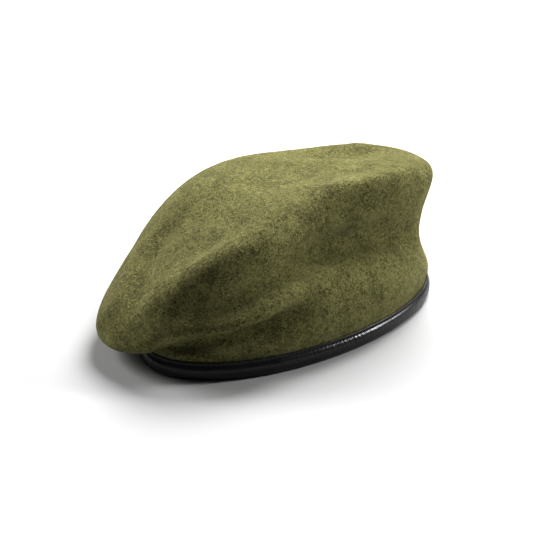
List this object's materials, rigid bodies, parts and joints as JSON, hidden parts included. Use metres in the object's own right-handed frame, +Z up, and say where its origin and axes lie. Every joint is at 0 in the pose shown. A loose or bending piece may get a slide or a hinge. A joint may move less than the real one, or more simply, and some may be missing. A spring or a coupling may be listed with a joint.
{
  "type": "felt beret",
  "caption": "Felt beret with a leather bound edge, draw tape, lining and badge stiffener, its crown pulled down to one side.",
  "frame": {"origin": "centre of the head opening, on the surface the bound edge rests on", "axes": "+X the wearer's left (badge side), +Y the back of the head, -Y the forehead, +Z up through the crown"},
  "size_m": [0.2102, 0.2633, 0.1057],
  "materials": {
    "olive_felt": "milled wool felt with a short nap",
    "black_leather": "smooth, semi-gloss",
    "black_tape": "woven cotton tape",
    "black_thread": "sewing thread",
    "black_lining": "satin",
    "stiff_board": "flexible stiffening board",
    "facing_cloth": "plain weave",
    "label_cloth": "blank satin ribbon",
    "lacquered_eyelet": "black lacquer over brass"
  },
  "bodies": {
    "root": {"felt_crown": "olive_felt", "leather_binding": "black_leather", "draw_tape": "black_tape", "binding_thread_outer": "black_thread", "binding_thread_inner": "black_thread", "lining_side": "black_lining", "lining_top": "black_lining", "lining_seam_thread": "black_thread", "badge_stiffener": "stiff_board", "stiffener_facing": "facing_cloth", "size_label": "label_cloth", "vent_eyelet_front": "lacquered_eyelet", "vent_eyelet_rear": "lacquered_eyelet", "vent_washer_front": "lacquered_eyelet", "vent_washer_rear": "lacquered_eyelet"}
  },
  "joints": []
}
